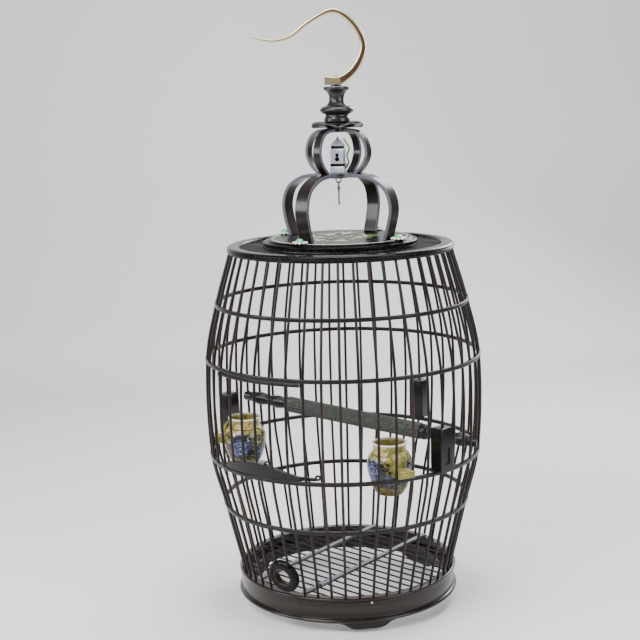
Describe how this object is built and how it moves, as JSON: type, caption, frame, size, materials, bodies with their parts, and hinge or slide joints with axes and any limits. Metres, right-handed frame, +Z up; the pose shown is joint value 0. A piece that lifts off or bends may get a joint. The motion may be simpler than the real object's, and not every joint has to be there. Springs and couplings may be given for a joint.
{
  "type": "birdcage",
  "caption": "Barrel-shaped hanging birdcage of dark turned wood with a swing-in door, lift-off cups, a sanded perch and a swivelling hook on a two-tier crown.",
  "frame": {"origin": "middle of the cage on the surface that its feet stand on", "axes": "+Z up along the cage's axis, -Y towards the side with the door at its left; the hook's arm points along -X at rest"},
  "size_m": [0.3481, 0.347, 0.7346],
  "materials": {
    "dark_wood": "satin brown-black hardwood",
    "bar_wood": "satin dark brown bamboo rods",
    "grille_wood": "grey-brown bamboo, worn",
    "black_lacquer": "gloss black lacquer on wood",
    "rosewood": "satin dark rosewood",
    "aged_brass": "aged, brushed",
    "pin_metal": "darkened",
    "pale_metal": "cast, silvery, satin",
    "ceramic": "glazed stoneware, cream to straw yellow",
    "grit": "sanded, very rough",
    "pearl": "polished shell",
    "green_stone": "polished, clear to milky green"
  },
  "bodies": {
    "frame": {"bar_wall": "bar_wood", "base_pin": "pin_metal", "base_ring": "dark_wood", "bead_1": "green_stone", "bead_2": "green_stone", "bead_3": "green_stone", "bead_4": "green_stone", "claw_1": "rosewood", "claw_2": "rosewood", "claw_3": "rosewood", "claw_4": "rosewood", "claw_hub": "rosewood", "finial": "black_lacquer", "floor_grille": "grille_wood", "floor_tab": "dark_wood", "foot_1": "dark_wood", "foot_2": "dark_wood", "foot_3": "dark_wood", "hook_washer": "pin_metal", "lantern_1": "rosewood", "lantern_2": "rosewood", "lantern_3": "rosewood", "lantern_4": "rosewood", "lantern_cap": "rosewood", "leaf_plate": "black_lacquer", "ornament": "pale_metal", "perch": "black_lacquer", "perch_sleeve": "grit", "port_ring": "black_lacquer", "rosette_1": "pearl", "rosette_2": "pearl", "rosette_3": "pearl", "rosette_4": "pearl", "spoke_collar": "bar_wood", "stop_block_1": "dark_wood", "stop_block_2": "dark_wood", "stop_block_3": "dark_wood", "top_board": "black_lacquer", "top_ring": "black_lacquer"},
    "door": {"door": "bar_wood"},
    "hook": {"hook": "aged_brass"},
    "pin": {"hanging_pin": "pin_metal"},
    "cup_right": {"cup_right": "ceramic"},
    "cup_left": {"cup_left": "ceramic"}
  },
  "joints": [
    {"name": "door_swing", "type": "hinge", "parent": "frame", "child": "door", "pos_m": [-0.14628, -0.0848, 0.19552], "axis": [-0.0097, -0.0056, 0.9999], "range_deg": [0, 85]},
    {"name": "hook_swivel", "type": "hinge", "parent": "frame", "child": "hook", "pos_m": [0, 0, 0.64], "axis": [0, 0, 1], "continuous": true},
    {"name": "pin_swing", "type": "hinge", "parent": "frame", "child": "pin", "pos_m": [0, 0, 0.5251], "axis": [1, 0, 0], "range_deg": [-25, 25]},
    {"name": "cup_right_lift", "type": "slide", "parent": "frame", "child": "cup_right", "axis": [0, 0, 1], "range_m": [0, 0.015]},
    {"name": "cup_left_lift", "type": "slide", "parent": "frame", "child": "cup_left", "axis": [0, 0, 1], "range_m": [0, 0.015]}
  ]
}
